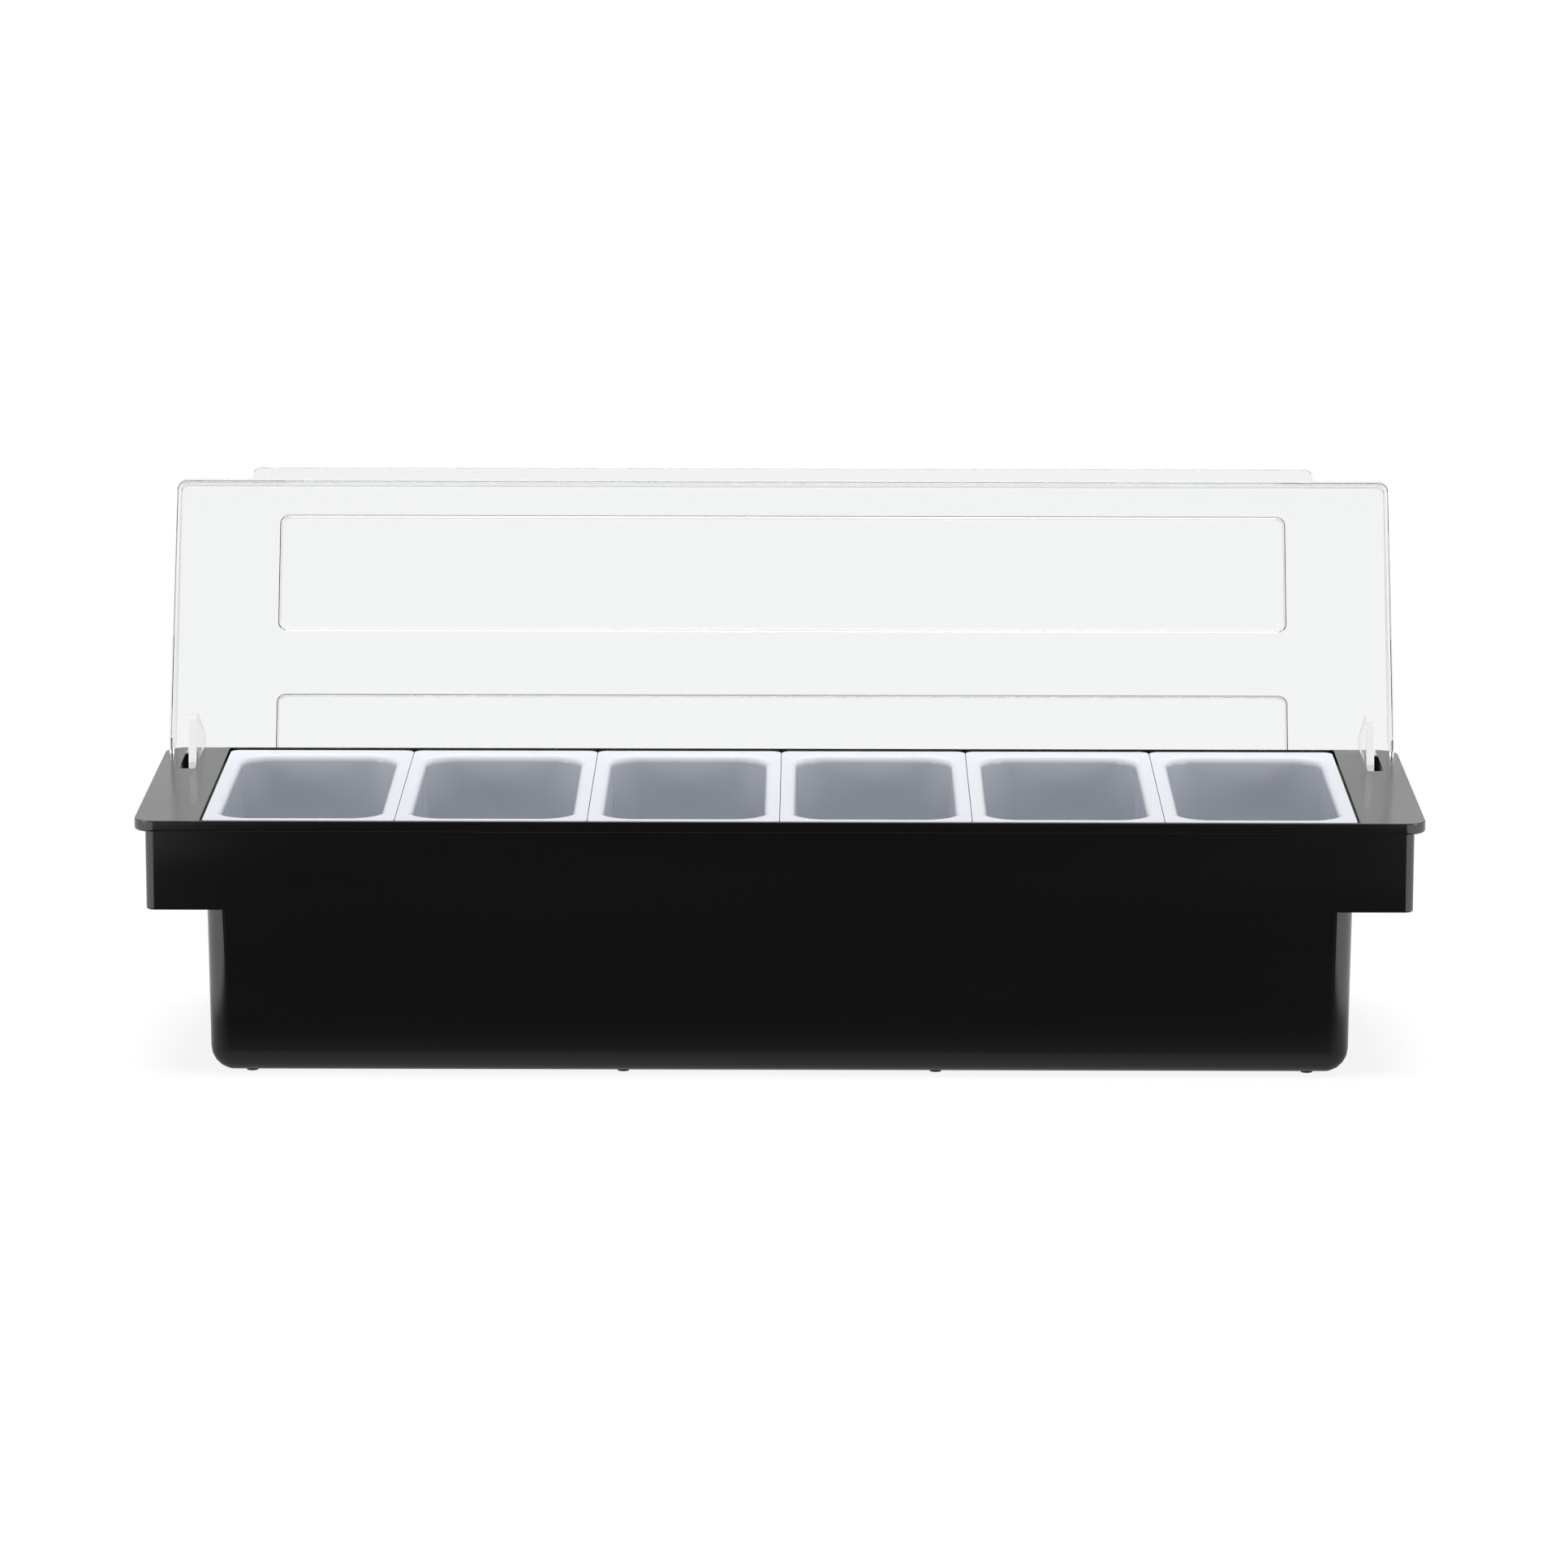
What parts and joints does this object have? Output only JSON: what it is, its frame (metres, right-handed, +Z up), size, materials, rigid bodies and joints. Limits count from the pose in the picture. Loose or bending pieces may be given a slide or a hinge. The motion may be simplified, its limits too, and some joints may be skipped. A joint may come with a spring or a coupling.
{
  "type": "condiment caddy",
  "caption": "Long bar caddy: a black tub with a wide flange, white lift-out inserts in a row, and a clear hinged lid that tips back to stand open.",
  "frame": {"origin": "centre of the tub's underside, on the plane of the feet, at the middle foot", "axes": "+X along the row of inserts, +Y towards the hinge side at the back, +Z up"},
  "size_m": [0.5, 0.2086, 0.2086],
  "materials": {
    "black_abs": "injection-moulded ABS, satin",
    "white_pp": "injection-moulded polypropylene, soft sheen",
    "clear_san": "clear injection-moulded SAN, polished"
  },
  "bodies": {
    "base": {"base": "black_abs"},
    "lid": {"lid": "clear_san"},
    "insert_1": {"insert_1": "white_pp"},
    "insert_2": {"insert_2": "white_pp"},
    "insert_3": {"insert_3": "white_pp"},
    "insert_4": {"insert_4": "white_pp"},
    "insert_5": {"insert_5": "white_pp"},
    "insert_6": {"insert_6": "white_pp"}
  },
  "joints": [
    {"name": "lid_hinge", "type": "hinge", "parent": "base", "child": "lid", "pos_m": [0, 0.0574, 0.0942], "axis": [-1, 0, 0], "range_deg": [-119.5, 0]},
    {"name": "insert_1_lift", "type": "slide", "parent": "base", "child": "insert_1", "axis": [0, 0, 1], "range_m": [0, 0.1]},
    {"name": "insert_2_lift", "type": "slide", "parent": "base", "child": "insert_2", "axis": [0, 0, 1], "range_m": [0, 0.1]},
    {"name": "insert_3_lift", "type": "slide", "parent": "base", "child": "insert_3", "axis": [0, 0, 1], "range_m": [0, 0.1]},
    {"name": "insert_4_lift", "type": "slide", "parent": "base", "child": "insert_4", "axis": [0, 0, 1], "range_m": [0, 0.1]},
    {"name": "insert_5_lift", "type": "slide", "parent": "base", "child": "insert_5", "axis": [0, 0, 1], "range_m": [0, 0.1]},
    {"name": "insert_6_lift", "type": "slide", "parent": "base", "child": "insert_6", "axis": [0, 0, 1], "range_m": [0, 0.1]}
  ]
}
